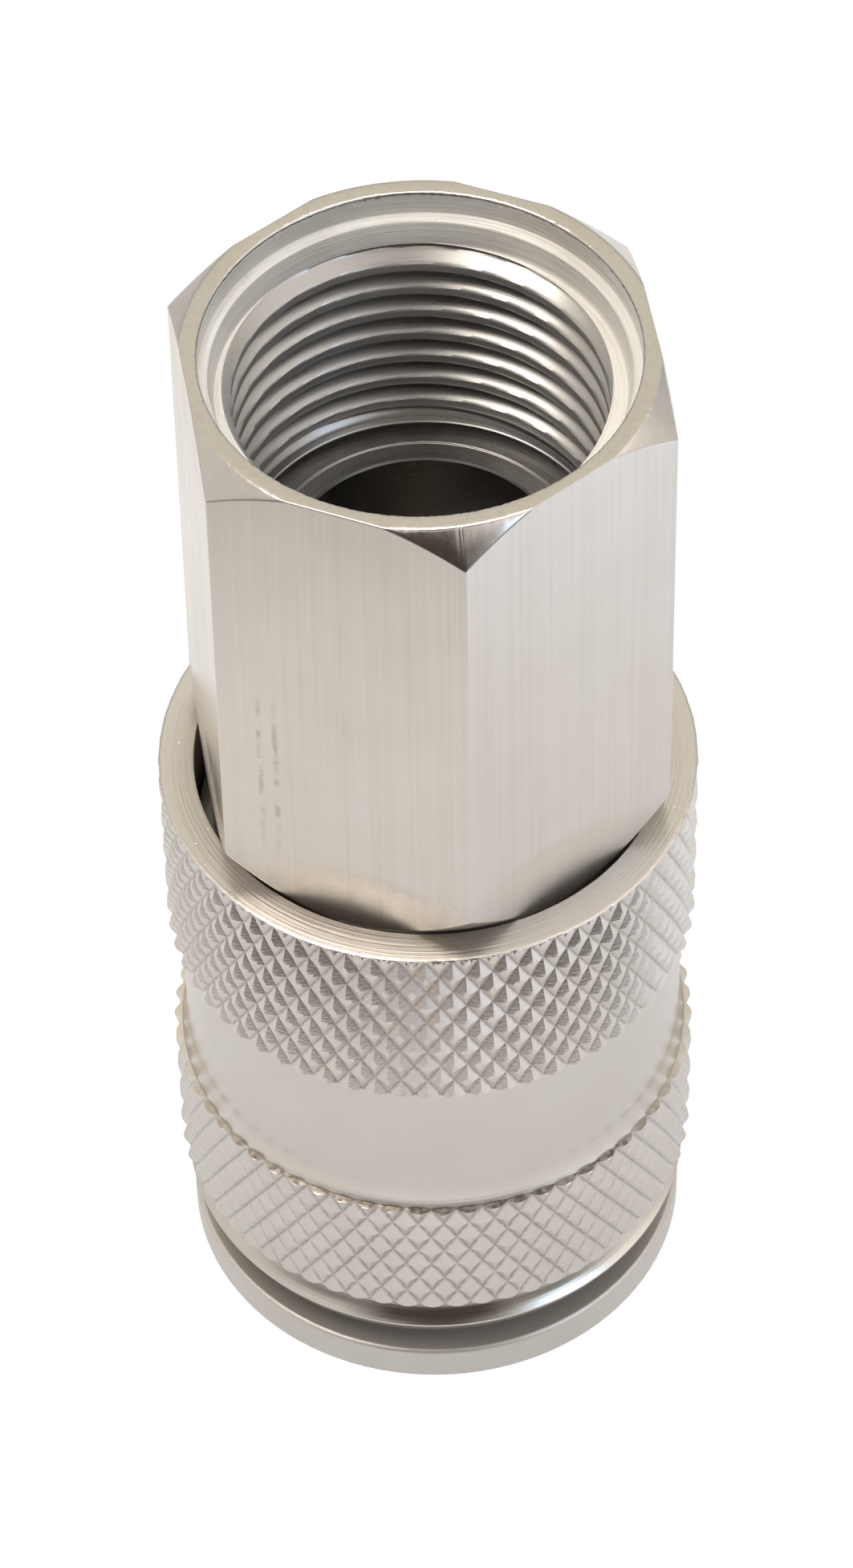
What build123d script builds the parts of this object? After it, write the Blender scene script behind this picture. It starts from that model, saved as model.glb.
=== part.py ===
from build123d import *
import os
from math import cos, radians, sin, sqrt

# Quick disconnect coupler, female half, with a female pipe port at its rear.
# The coupler stands on its front face: z = 0 is the face that the plug enters, and +Z runs
# to the hexagon. Every part is turned about the Z axis. All sizes are in millimetres.

# ---- driving dimensions -------------------------------------------------------------------
total_length = 55.1
hex_across_flats = 19.0

# Rear port, a G 3/8 pipe thread: 19 threads per inch and 16.662 major diameter.
thread_major_radius = 16.662 / 2
thread_minor_radius = 15.3 / 2
port_face_radius = 9.7
port_counterbore_radius = 8.95
port_counterbore_depth = 1.1
thread_start_depth = 2.27
thread_end_depth = 11.8
port_floor_depth = 12.3
flow_radius = 5.65

# Locking: six balls in the body, a cone in the sleeve, and the valve slider as their keeper.
plug_radius = 6.0
mouth_land_radius = 6.3
ball_radius = 1.5
ball_count = 6
ball_height = 7.0
sleeve_stroke = 1.3
ball_travel_per_sleeve_travel = 0.65

# Sleeve.
sleeve_front = 3.3
sleeve_length = 27.17
knurl_radius = 11.6
waist_radius = 11.0
sleeve_rear_bore_radius = 10.04
upper_knurl_length = 9.35
lower_knurl_length = 6.8
lip_radius = 11.3
nose_radius = 10.92

# Clearances.
running_gap = 0.05
face_gap = 0.02
shoulder_gap = 0.08

# ---- stations worked out from the driving dimensions --------------------------------------
hex_corner_radius = hex_across_flats / sqrt(3)
hex_length = 23.0
hex_bottom = total_length - hex_length
hex_front_cone_slope = 1.55
sleeve_rear = sleeve_front + sleeve_length

collar_radius = 9.3
collar_front = 27.0
front_flange_radius = 11.12
front_flange_length = 1.87
body_radius = 8.15

valve_seat_height = 17.5
chamber_radius = 7.1
chamber_rear = 36.0
socket_depth = 6.0
socket_floor = collar_front + socket_depth
gasket_thickness = 0.6
spigot_radius = 8.0
spigot_end = socket_floor - gasket_thickness

ball_orbit = plug_radius + ball_radius
sleeve_cone_offset = (ball_radius + 0.03) * sqrt(1 + ball_travel_per_sleeve_travel**2)
sleeve_land_radius = body_radius + running_gap
release_groove_radius = 9.3

parts = []


def finish(builder, label):
    """Give a finished piece its name and put it on the list to be written."""
    builder.part.label = label
    parts.append(builder.part)


def ring(label, inner, outer, low, high):
    """A flat ring between two radii and two heights."""
    with BuildPart() as flat_ring:
        with BuildSketch(Plane.XY.offset(low)):
            Circle(outer)
            Circle(inner, mode=Mode.SUBTRACT)
        extrude(amount=high - low)
    finish(flat_ring, label)


def coil_spring(label, mean_radius, wire_diameter, turns, low, high):
    """A compression spring with both ends ground flat at the heights low and high."""
    with BuildPart() as spring:
        with BuildLine() as wire_path:
            Helix(pitch=(high - low) / turns, height=high - low, radius=mean_radius,
                  center=(0, 0, low))
        with BuildSketch(wire_path.line ^ 0):
            Circle(wire_diameter / 2)
        sweep(is_frenet=True)
        with BuildSketch(Plane.XY.offset(low)):
            Circle(mean_radius + wire_diameter)
        extrude(amount=high - low, mode=Mode.INTERSECT)
    finish(spring, label)


# ---- thread adaptor: hexagon, pipe port and the socket for the body -----------------------
# A hexagonal bar whose rear end is turned to 45 degrees and whose front end is turned to a
# steeper cone, so the corners are cut back in arcs. The flats end at a shoulder just behind
# the sleeve, so a wrench can lie on a whole flat.
cone_reach = hex_corner_radius + 1
flat_low = sleeve_rear + shoulder_gap
port_wall_top = total_length - thread_start_depth
port_relief_top = total_length - thread_end_depth
port_floor = total_length - port_floor_depth
port_relief_radius = 8.1
floor_inner_radius = 6.5
floor_chamfer_depth = 0.3


def front_cone_height(radius):
    """Height at which the cone on the front end of the hexagon has this radius."""
    return hex_bottom + hex_front_cone_slope * (radius - hex_corner_radius)


def front_cone_radius(height):
    """Radius at which the cone on the front end of the hexagon has this height."""
    return hex_corner_radius + (height - hex_bottom) / hex_front_cone_slope


with BuildPart() as thread_adaptor:
    with BuildSketch(Plane.XY.offset(collar_front)):
        RegularPolygon(radius=hex_corner_radius, side_count=6, rotation=30)
    extrude(amount=total_length - collar_front)
    with BuildSketch(Plane.XZ):
        Polygon(
            (0, collar_front),
            (collar_radius, collar_front),
            (collar_radius, flat_low),
            (front_cone_radius(flat_low), flat_low),
            (cone_reach, front_cone_height(cone_reach)),
            (cone_reach, total_length - (cone_reach - port_face_radius)),
            (port_face_radius, total_length),
            (0, total_length),
            align=None,
        )
    revolve(axis=Axis.Z, mode=Mode.INTERSECT)
    with BuildSketch(Plane.XZ):
        Polygon(
            (0, collar_front),
            (spigot_radius + running_gap, collar_front),
            (spigot_radius + running_gap, socket_floor),
            (chamber_radius, socket_floor),
            (chamber_radius, chamber_rear),
            (flow_radius, chamber_rear),
            (flow_radius, port_floor - floor_chamfer_depth),
            (floor_inner_radius, port_floor),
            (port_relief_radius, port_floor),
            (port_relief_radius, port_relief_top),
            (thread_minor_radius, port_relief_top),
            (thread_minor_radius, port_wall_top),
            (thread_major_radius, port_wall_top),
            (thread_major_radius, total_length - port_counterbore_depth),
            (port_counterbore_radius, total_length - port_counterbore_depth),
            (port_counterbore_radius, total_length),
            (0, total_length),
            align=None,
        )
    revolve(axis=Axis.Z, mode=Mode.SUBTRACT)
finish(thread_adaptor, "thread_adaptor")

# ---- socket body: front flange, plug bore, ball pockets and valve seat ---------------------
mouth_radius = 6.9
mouth_chamfer_length = 0.6
mouth_land_end = 5.2
flange_edge_break = 0.12
slider_groove_low = 11.5
slider_groove_high = 13.1
slider_groove_radius = 7.32
spigot_start = collar_front - running_gap
spigot_chamfer = 0.4
pocket_radius = ball_radius + running_gap
locked_ball_orbit = ball_orbit - ball_travel_per_sleeve_travel * sleeve_stroke

with BuildPart() as socket_body:
    with BuildSketch(Plane.XZ):
        Polygon(
            (mouth_radius, 0),
            (front_flange_radius - flange_edge_break, 0),
            (front_flange_radius, flange_edge_break),
            (front_flange_radius, front_flange_length - flange_edge_break),
            (front_flange_radius - flange_edge_break, front_flange_length),
            (body_radius, front_flange_length),
            (body_radius, spigot_start),
            (spigot_radius, spigot_start),
            (spigot_radius, spigot_end - spigot_chamfer),
            (spigot_radius - spigot_chamfer, spigot_end),
            (chamber_radius, spigot_end),
            (chamber_radius, valve_seat_height),
            (plug_radius, valve_seat_height),
            (plug_radius, slider_groove_high),
            (slider_groove_radius, slider_groove_high),
            (slider_groove_radius, slider_groove_low),
            (plug_radius, slider_groove_low),
            (plug_radius, mouth_land_end + (mouth_land_radius - plug_radius)),
            (mouth_land_radius, mouth_land_end),
            (mouth_land_radius, mouth_chamfer_length),
            align=None,
        )
    revolve(axis=Axis.Z)
    # Each pocket ends in a spherical floor with an opening smaller than the ball, so the
    # ball shows in the plug bore but can't fall through it.
    with PolarLocations(locked_ball_orbit, ball_count):
        with Locations((0, 0, ball_height)):
            Sphere(pocket_radius, mode=Mode.SUBTRACT)
            Cylinder(pocket_radius, body_radius, rotation=(0, 90, 0),
                     align=(Align.CENTER, Align.CENTER, Align.MIN), mode=Mode.SUBTRACT)
finish(socket_body, "socket_body")

ring("body_gasket", chamber_radius + running_gap, spigot_radius,
     spigot_end + face_gap, socket_floor - face_gap)

# ---- locking balls --------------------------------------------------------------------------
for number in range(ball_count):
    turn = radians(360 / ball_count * number)
    with BuildPart() as locking_ball:
        with Locations((ball_orbit * cos(turn), ball_orbit * sin(turn), ball_height)):
            Sphere(ball_radius)
    finish(locking_ball, f"locking_ball_{number + 1}")

# ---- release sleeve -------------------------------------------------------------------------
# The cone narrows towards the rear, so a forward move of the sleeve drives the balls inwards.
spring_shoulder = 13.0
nose_length = 2.75
lower_knurl_low = sleeve_front + nose_length
lower_knurl_high = lower_knurl_low + lower_knurl_length
upper_knurl_low = sleeve_rear - upper_knurl_length
knurl_shoulder = 0.35

# Two hollow curves, each given by its radius and by how far it leans at its two ends.
lip_height = sleeve_front + 0.85
flare_radius = 2.0
flare_lean = (15, 52)
waist_curve_radius = 3.0
waist_curve_lean = (0, 24)
waist_curve_reach = waist_radius + waist_curve_radius * (1 - cos(radians(waist_curve_lean[1])))


def hollow_curve(curve_radius, lean, low_point):
    """An arc that ends at low_point and faces outwards, leaning up by lean degrees at its ends."""
    centre_radius = low_point[0] + curve_radius * cos(radians(lean[1]))
    centre_height = low_point[1] + curve_radius * sin(radians(lean[1]))
    leans = (lean[1], (lean[0] + lean[1]) / 2, lean[0])
    points = [
        (centre_radius - curve_radius * cos(radians(angle)),
         centre_height - curve_radius * sin(radians(angle)))
        for angle in leans
    ]
    return ThreePointArc(*points)


def sleeve_cone_height(radius):
    """Height at which the cone that meets the balls has this radius."""
    return ball_height + (ball_orbit + sleeve_cone_offset - radius) / ball_travel_per_sleeve_travel


with BuildPart() as release_sleeve:
    with BuildSketch(Plane.XZ):
        with BuildLine():
            lip_flank = hollow_curve(flare_radius, flare_lean, (lip_radius, lip_height))
            neck_radius = (lip_flank @ 1).X
            waist_fillet = hollow_curve(
                waist_curve_radius, waist_curve_lean, (waist_curve_reach, lower_knurl_high))
            Polyline(
                lip_flank @ 1,
                (neck_radius, lower_knurl_low - knurl_shoulder),
                (knurl_radius, lower_knurl_low),
                (knurl_radius, lower_knurl_high),
                waist_fillet @ 0,
            )
            Polyline(
                waist_fillet @ 1,
                (waist_radius, upper_knurl_low - knurl_shoulder),
                (knurl_radius, upper_knurl_low),
                (knurl_radius, sleeve_rear),
                (sleeve_rear_bore_radius, sleeve_rear),
                (sleeve_rear_bore_radius, spring_shoulder),
                (sleeve_land_radius, spring_shoulder),
                (sleeve_land_radius, sleeve_cone_height(sleeve_land_radius)),
                (release_groove_radius, sleeve_cone_height(release_groove_radius)),
                (release_groove_radius, sleeve_front),
                (nose_radius, sleeve_front),
                lip_flank @ 0,
            )
        make_face()
    revolve(axis=Axis.Z)
finish(release_sleeve, "release_sleeve")

# ---- sleeve spring and its two washers ------------------------------------------------------
washer_thickness = 0.58
washer_outer_radius = 9.9
washer_inner_radius = body_radius + 2 * running_gap
sleeve_wire = 1.1
sleeve_spring_radius = (washer_inner_radius + washer_outer_radius) / 2
sleeve_spring_low = spring_shoulder + washer_thickness + 2 * face_gap
sleeve_spring_high = collar_front - washer_thickness - 2 * face_gap

ring("sleeve_spring_washer", washer_inner_radius, washer_outer_radius,
     spring_shoulder + face_gap, spring_shoulder + face_gap + washer_thickness)
ring("sleeve_spring_seat", washer_inner_radius, washer_outer_radius,
     collar_front - face_gap - washer_thickness, collar_front - face_gap)
coil_spring("sleeve_spring", sleeve_spring_radius, sleeve_wire, 5.5,
            sleeve_spring_low, sleeve_spring_high)

# ---- valve slider: keeps the balls out, carries both seals and opens the air way -----------
slider_radius = plug_radius - running_gap
slider_front = ball_height - running_gap
slider_edge_break = 0.2
seal_pocket_radius = 5.3
seal_pocket_floor = 9.5
slider_bore_radius = 4.2
slider_bore_end = 17.3
valve_head_radius = 6.5
valve_head_low = 19.0
valve_head_high = 20.5
spring_boss_radius = 5.0
spring_boss_high = 22.0
window_count = 4
window_width = 4.5
window_low = 14.2
window_high = 16.8

with BuildPart() as valve_slider:
    with BuildSketch(Plane.XZ):
        Polygon(
            (seal_pocket_radius, slider_front),
            (slider_radius - slider_edge_break, slider_front),
            (slider_radius, slider_front + slider_edge_break),
            (slider_radius, valve_head_low),
            (valve_head_radius, valve_head_low),
            (valve_head_radius, valve_head_high),
            (spring_boss_radius, valve_head_high),
            (spring_boss_radius, spring_boss_high - slider_edge_break),
            (spring_boss_radius - slider_edge_break, spring_boss_high),
            (0, spring_boss_high),
            (0, slider_bore_end),
            (slider_bore_radius, slider_bore_end),
            (slider_bore_radius, seal_pocket_floor),
            (seal_pocket_radius, seal_pocket_floor),
            align=None,
        )
    revolve(axis=Axis.Z)
    window_centre = (window_low + window_high) / 2
    with PolarLocations(slider_radius, window_count, start_angle=45):
        with Locations((0, 0, window_centre)):
            Box(slider_radius, window_width, window_high - window_low, mode=Mode.SUBTRACT)
finish(valve_slider, "valve_slider")

# ---- valve seals, valve spring and its seat -------------------------------------------------
plug_seal_bore = 3.9
plug_seal_low = 7.62
retainer_bore = 4.55
valve_seal_radius = 6.75
o_ring_section_radius = 0.66

ring("plug_seal", plug_seal_bore, seal_pocket_radius - face_gap,
     plug_seal_low, seal_pocket_floor - face_gap)
ring("plug_seal_retainer", retainer_bore, seal_pocket_radius - face_gap,
     slider_front + running_gap, plug_seal_low - face_gap)
ring("valve_seal", slider_radius + face_gap, valve_seal_radius,
     valve_seat_height + running_gap, valve_head_low - face_gap)

with BuildPart() as slider_o_ring:
    with Locations((0, 0, (slider_groove_low + slider_groove_high) / 2)):
        Torus(slider_radius + face_gap + o_ring_section_radius, o_ring_section_radius)
finish(slider_o_ring, "slider_o_ring")

spring_seat_thickness = 0.8
spring_seat_bore = 4.4
valve_wire = 0.9
valve_spring_radius = spring_boss_radius + 0.1 + valve_wire / 2
valve_spring_high = chamber_rear - spring_seat_thickness - 2 * face_gap

ring("valve_spring_seat", spring_seat_bore, chamber_radius - 2 * running_gap,
     chamber_rear - spring_seat_thickness - face_gap, chamber_rear - face_gap)
coil_spring("valve_spring", valve_spring_radius, valve_wire, 7.5,
            valve_head_high + face_gap, valve_spring_high)

# ---- write one file per piece ---------------------------------------------------------------
os.makedirs("parts", exist_ok=True)
for piece in parts:
    export_step(piece, f"parts/{piece.label}.step")
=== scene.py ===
import math

import bpy
import numpy as np
from mathutils import Matrix, Vector


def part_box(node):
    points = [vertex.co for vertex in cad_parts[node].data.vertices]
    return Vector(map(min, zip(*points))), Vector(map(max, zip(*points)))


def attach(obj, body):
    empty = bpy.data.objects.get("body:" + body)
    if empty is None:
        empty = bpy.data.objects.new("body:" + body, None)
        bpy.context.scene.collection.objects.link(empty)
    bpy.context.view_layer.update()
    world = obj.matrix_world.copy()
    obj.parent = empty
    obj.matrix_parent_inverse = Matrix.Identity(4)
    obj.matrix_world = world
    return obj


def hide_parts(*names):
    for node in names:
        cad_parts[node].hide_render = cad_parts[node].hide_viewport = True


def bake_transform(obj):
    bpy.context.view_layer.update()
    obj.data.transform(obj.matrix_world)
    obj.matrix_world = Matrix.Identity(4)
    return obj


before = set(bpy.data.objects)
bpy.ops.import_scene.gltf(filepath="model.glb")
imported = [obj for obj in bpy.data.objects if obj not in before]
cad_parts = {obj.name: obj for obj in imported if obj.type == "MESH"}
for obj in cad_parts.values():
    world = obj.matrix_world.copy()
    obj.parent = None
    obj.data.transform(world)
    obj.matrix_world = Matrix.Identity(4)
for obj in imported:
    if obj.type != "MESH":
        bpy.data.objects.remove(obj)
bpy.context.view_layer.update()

# The looks of a quick disconnect coupler: plated brass hexagon and sleeve, with a cut thread
# and two knurled bands as real geometry. Lengths are in metres; MM turns millimetres into them.
MM = 0.001
random_source = np.random.default_rng(7)

# ---- sizes read from the frame ------------------------------------------------------------
adaptor_low, adaptor_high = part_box("thread_adaptor")
sleeve_low, sleeve_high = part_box("release_sleeve")
TOP = adaptor_high.z
FLAT_RADIUS = adaptor_high.x
CORNER_RADIUS = FLAT_RADIUS / math.cos(math.radians(30))
KNURL_RADIUS = sleeve_high.x

# ---- release sleeve sizes -------------------------------------------------------------------
SLEEVE_FRONT = sleeve_low.z
SLEEVE_REAR = sleeve_high.z
LOWER_KNURL_LOW = SLEEVE_FRONT + 2.62 * MM
LOWER_KNURL_HIGH = SLEEVE_FRONT + 9.55 * MM
UPPER_KNURL_LOW = SLEEVE_REAR - 9.35 * MM
WAIST_RADIUS = 11.0 * MM
WAIST_CURVE = 3.0 * MM
WAIST_LEAN = (0, 24)
SHOULDER = 0.35 * MM
LIP_RADIUS = 11.3 * MM
LIP_HEIGHT = SLEEVE_FRONT + 0.85 * MM
FLARE_CURVE = 2.0 * MM
FLARE_LEAN = (15, 52)
NOSE_RADIUS = 10.92 * MM
REAR_BORE = 10.04 * MM
RELEASE_GROOVE = 9.3 * MM
LAND_RADIUS = 8.2 * MM
SPRING_SHOULDER = 13.0 * MM
CONE_ENDS = (8.731 * MM, 7.038 * MM)

KNURL_STARTS = 63
KNURL_STEPS = 6
KNURL_PERIOD = 2.0 * MM
KNURL_RISE = 0.32 * MM
KNURL_TOP_LEVEL = 0.8
TRIM_COUNT = 997
TRIM_SPREAD = 0.05
RAGGED_SPREAD = 0.02 * MM
RIM_RADIUS = 11.57 * MM
RIM_HEIGHT = 0.34 * MM
CORNER_LEDGE_RADIUS = 11.5 * MM
RAGGED_SHIFT = 91

# Rows on a band's rounded end lie at these angles, in degrees, from the band's face.
END_ROW_ANGLES = (10, 30, 48, 64, 78)

# A quad of the knurl is cut when it is bent by more than this, in metres.
BEND_LIMIT = 1e-7

# ---- mesh helpers ---------------------------------------------------------------------------
SHARP_ANGLE = math.radians(34)
KNURL_SHARP_ANGLE = math.radians(21)


def new_object(name, points, face_arrays, smooth=True, sharp_angle=SHARP_ANGLE):
    """A mesh object from an array of points and a list of face index arrays."""
    mesh = bpy.data.meshes.new(name)
    loops = np.concatenate([faces.ravel() for faces in face_arrays])
    totals = np.concatenate([np.full(len(faces), faces.shape[1]) for faces in face_arrays])
    starts = np.concatenate([[0], np.cumsum(totals)[:-1]])
    mesh.vertices.add(len(points))
    mesh.vertices.foreach_set("co", points.astype(np.float32).ravel())
    mesh.loops.add(len(loops))
    mesh.loops.foreach_set("vertex_index", loops.astype(np.int32))
    mesh.polygons.add(len(totals))
    mesh.polygons.foreach_set("loop_start", starts.astype(np.int32))
    mesh.update(calc_edges=True)
    mesh.validate()
    if smooth:
        mesh.shade_smooth()
        mesh.set_sharp_from_angle(angle=sharp_angle)
    obj = bpy.data.objects.new(name, mesh)
    bpy.context.collection.objects.link(obj)
    return obj


def weight_normals(obj):
    """Large flat faces keep their own normals beside small rounded edges."""
    modifier = obj.modifiers.new("weighted_normals", "WEIGHTED_NORMAL")
    modifier.keep_sharp = True
    modifier.weight = 100


class Outline:
    """A closed outline of rows, each a radius and a height for every column round the axis.

    Rows run so that the solid lies on the left when the outline is followed in (radius, height).
    """

    def __init__(self, angles):
        self.angles = angles
        self.rows = []

    def spread(self, value):
        return np.broadcast_to(np.asarray(value, float), self.angles.shape)

    def point(self, radius, height, ease=0.0):
        """A corner of the outline, rounded by ease if that is above nothing."""
        self.rows.append((self.spread(radius), self.spread(height), self.spread(ease)))

    def eased(self):
        """All rows, with each corner that has an ease turned into a small arc of four rows."""
        radius = np.stack([row[0] for row in self.rows])
        height = np.stack([row[1] for row in self.rows])
        result = []
        count = len(self.rows)
        for index, (r, z, ease) in enumerate(self.rows):
            if not np.any(ease):
                result.append((r, z))
                continue
            ends = []
            for other in ((index - 1) % count, (index + 1) % count):
                step_r = radius[other] - r
                step_z = height[other] - z
                length = np.maximum(np.hypot(step_r, step_z), 1e-9)
                share = np.minimum(ease, 0.45 * length) / length
                ends.append((r + step_r * share, z + step_z * share))
            for t in (0.0, 1 / 3, 2 / 3, 1.0):
                weights = ((1 - t) ** 2, 2 * t * (1 - t), t ** 2)
                points = (ends[0], (r, z), ends[1])
                result.append((
                    sum(w * p[0] for w, p in zip(weights, points)),
                    sum(w * p[1] for w, p in zip(weights, points)),
                ))
        return result

    def build(self, name, split=None, sharp_angle=SHARP_ANGLE):
        """The solid swept round the axis. split picks, per quad, which diagonal cuts it, or none."""
        rows = self.eased()
        radius = np.stack([row[0] for row in rows])
        height = np.stack([row[1] for row in rows])
        points = np.stack([radius * np.cos(self.angles), radius * np.sin(self.angles), height], -1)
        row_count, column_count = radius.shape
        row = np.arange(row_count)[:, None]
        column = np.arange(column_count)[None, :]
        next_row = (row + 1) % row_count
        next_column = (column + 1) % column_count
        a = row * column_count + column
        b = row * column_count + next_column
        c = next_row * column_count + next_column
        d = next_row * column_count + column
        quads = np.stack([a, b, c, d], -1)
        if split is None:
            return new_object(name, points.reshape(-1, 3), [quads.reshape(-1, 4)])
        choice = split(radius, height)
        whole = quads[choice == 0]
        along_ac = quads[choice == 1]
        along_bd = quads[choice == 2]
        triangles = np.concatenate([
            along_ac[:, [0, 1, 2]], along_ac[:, [0, 2, 3]],
            along_bd[:, [0, 1, 3]], along_bd[:, [1, 2, 3]],
        ])
        return new_object(name, points.reshape(-1, 3), [whole, triangles], sharp_angle=sharp_angle)


# ---- materials ------------------------------------------------------------------------------
class Nodes:
    """A short way to write the node tree of a material or of the world."""

    def __init__(self, tree):
        self.tree = tree
        tree.nodes.clear()

    def add(self, kind, inputs=None, **settings):
        node = self.tree.nodes.new(kind)
        for key, value in settings.items():
            setattr(node, key, value)
        for key, value in (inputs or {}).items():
            if isinstance(value, bpy.types.NodeSocket):
                self.tree.links.new(value, node.inputs[key])
            else:
                node.inputs[key].default_value = value
        return node

    def math(self, operation, first, second=0.0, third=0.0, clamp=False):
        return self.add("ShaderNodeMath", {0: first, 1: second, 2: third},
                        operation=operation, use_clamp=clamp).outputs[0]

    def combine(self, x, y, z):
        return self.add("ShaderNodeCombineXYZ", {0: x, 1: y, 2: z}).outputs[0]

    def stretch(self, x, y, z, scales):
        """The vector (x, y, z) with each part multiplied by its own scale."""
        return self.combine(*[
            self.math("MULTIPLY", part, scale) for part, scale in zip((x, y, z), scales)
        ])

    def noise(self, vector, scale=1.0, detail=2.0, roughness=0.5):
        return self.add("ShaderNodeTexNoise", {
            "Vector": vector, "Scale": scale, "Detail": detail, "Roughness": roughness,
        }).outputs["Fac"]

    def fit(self, value, low, high, new_low, new_high):
        return self.add("ShaderNodeMapRange", {
            "Value": value, "From Min": low, "From Max": high, "To Min": new_low, "To Max": new_high,
        }).outputs[0]

    def mix(self, factor, first, second):
        node = self.add("ShaderNodeMix", data_type="RGBA")
        sockets = (node.inputs[0], node.inputs[6], node.inputs[7])
        for socket, value in zip(sockets, (factor, first, second)):
            if isinstance(value, bpy.types.NodeSocket):
                self.tree.links.new(value, socket)
            else:
                socket.default_value = value
        return node.outputs[2]


def new_material(name):
    material = bpy.data.materials.new(name)
    material.use_nodes = True
    return material, Nodes(material.node_tree)


def level_length(nodes, x, y):
    """Length of the vector (x, y)."""
    squares = nodes.math("ADD", nodes.math("MULTIPLY", x, x), nodes.math("MULTIPLY", y, y))
    return nodes.math("SQRT", squares)


def axis_coordinates(nodes):
    """The point in its object's frame, in millimetres: vector, x, y, z and radius, then angle."""
    position = nodes.add("ShaderNodeTexCoord").outputs["Object"]
    scaled = nodes.add("ShaderNodeVectorMath", {0: position, 1: (1 / MM,) * 3}, operation="MULTIPLY")
    vector = scaled.outputs[0]
    parts = nodes.add("ShaderNodeSeparateXYZ", {0: vector})
    x, y, z = parts.outputs
    radius = level_length(nodes, x, y)
    angle = nodes.math("ARCTAN2", y, x)
    return vector, x, y, z, radius, angle


def metal(name, colour, roughness, marks, mark_depth, tarnish, relief_depth=0.004, edge=0.0,
          metallic=1.0, shade_mask=None, streaks=0.0):
    """A machined metal. marks is "turned" for lathe rings or "drawn" for lines along the axis.

    A drawn bar is rougher at its foot. tarnish is the colour of its duller patches.
    relief_depth and edge are in millimetres; edge is how far sharp corners shade as rounded.
    metallic below 1 leaves a dull film on the surface.
    shade_mask(nodes, radius, z, angle) says where painted shade darkens the colour.
    streaks is how strongly the marks darken the surface.
    """
    material, nodes = new_material(name)
    vector, x, y, z, radius, angle = axis_coordinates(nodes)
    if marks == "turned":
        lines = nodes.stretch(radius, z, angle, TURNED_SCALES)
    else:
        lines = nodes.stretch(x, y, z, DRAWN_SCALES)
    fine = nodes.noise(lines, 1.0, 4.0, 0.6)
    blotch = nodes.noise(vector, 0.25, 3.0, 0.5)
    pits = nodes.noise(vector, 3.4, 1.0, 0.4)
    pit_depth = nodes.fit(pits, 0.76, 0.83, 0.0, -1.0)
    relief = nodes.math("ADD", fine, nodes.math("MULTIPLY", pit_depth, 0.7))
    bump = nodes.add("ShaderNodeBump", {
        "Strength": mark_depth, "Distance": relief_depth * MM, "Height": relief,
    })
    if edge:
        rounded = nodes.add("ShaderNodeBevel", {"Radius": edge * MM}, samples=6)
        nodes.tree.links.new(rounded.outputs[0], bump.inputs["Normal"])
    rough = nodes.math("ADD", nodes.fit(blotch, 0.3, 0.7, roughness * 0.9, roughness * 1.15),
                       nodes.fit(fine, 0.35, 0.7, -0.02, 0.05))
    if marks == "drawn":
        rough = nodes.math("ADD", rough, nodes.fit(z, *ROUGH_FOOT, FOOT_ROUGHNESS, 0.0))
    shade = nodes.fit(blotch, 0.35, 0.75, 0.0, 1.0)
    tint = nodes.mix(shade, (*colour, 1), (*tarnish, 1))
    if marks == "drawn":
        tint = nodes.mix(draw_marks(nodes, x, y, z), tint, (*DRAWN_DARK, 1))
    if streaks:
        darkening = nodes.fit(fine, 0.35, 0.65, 0.0, streaks)
        tint = nodes.mix(darkening, tint, (*DRAWN_DARK, 1))
    # Painted shade: where the mask is above 0, the colour darkens towards a dark tone, broken up by the
    # pit noise.
    if shade_mask:
        broken = nodes.fit(pits, 0.35, 0.65, 0.4, 1.0)
        shade_share = nodes.math("MULTIPLY", shade_mask(nodes, radius, z, angle), broken)
        tint = nodes.mix(shade_share, tint, (*PAINTED_SHADE, 1))
    shader = nodes.add("ShaderNodeBsdfPrincipled", {
        "Base Color": tint, "Metallic": metallic, "Roughness": rough, "Normal": bump.outputs[0],
    })
    nodes.add("ShaderNodeOutputMaterial", {0: shader.outputs[0]})
    return material


def draw_marks(nodes, x, y, z):
    """Streaks that the drawing die left along the bar, and two broken darker lines."""
    across = nodes.stretch(x, y, z, DIE_STREAK_SCALES)
    streaks = nodes.fit(nodes.noise(across, 1.0, 4.0, 0.7), 0.42, 0.78, 0.0, 0.2)
    broken = nodes.stretch(x, y, z, LINE_GAP_SCALES)
    gaps = nodes.fit(nodes.noise(broken, 1.3, 3.0, 0.6), 0.42, 0.62, 0.0, 0.85)
    gaps = nodes.math("MULTIPLY", gaps, nodes.fit(z, *LINES_START, 0.0, 1.0))
    gaps = nodes.math("MULTIPLY", gaps, nodes.fit(z, *LINES_END, 1.0, 0.0))
    for place in LINE_PLACES:
        away = nodes.math("ABSOLUTE", nodes.math("SUBTRACT", x, place))
        line = nodes.fit(away, *LINE_FADE, 1.0, 0.0)
        streaks = nodes.math("MAXIMUM", streaks, nodes.math("MULTIPLY", line, gaps))
    return streaks


def knurl_groove_shade(nodes, radius, z, _):
    """Share of painted shade: above 0 in the grooves between the diamonds of the knurled bands, 0
    everywhere else.
    """
    low, high = LOWER_KNURL_LOW / MM, SLEEVE_REAR / MM
    deep = nodes.fit(radius, *GROOVE_SHADE_DEPTH, 0.55, 0.0)
    above_waist = nodes.fit(radius, *WAIST_CLEAR, 0.0, 1.0)
    inside = nodes.math("MULTIPLY", nodes.fit(z, low - 0.1, low, 0.0, 1.0),
                        nodes.fit(z, high - 0.12, high - 0.04, 1.0, 0.0))
    return nodes.math("MULTIPLY", nodes.math("MULTIPLY", deep, above_waist), inside)


def corner_shade_share(nodes, _, __, angle):
    """Share of painted shade: 1 along the front of the corner at the waist's foot, on the camera's
    side, falling to 0 towards its sides.
    """
    away = nodes.math("ABSOLUTE", nodes.math("SUBTRACT", angle, CORNER_SHADE_MIDDLE))
    return nodes.fit(away, *CORNER_SHADE_FADE, 1.0, 0.0)


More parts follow.
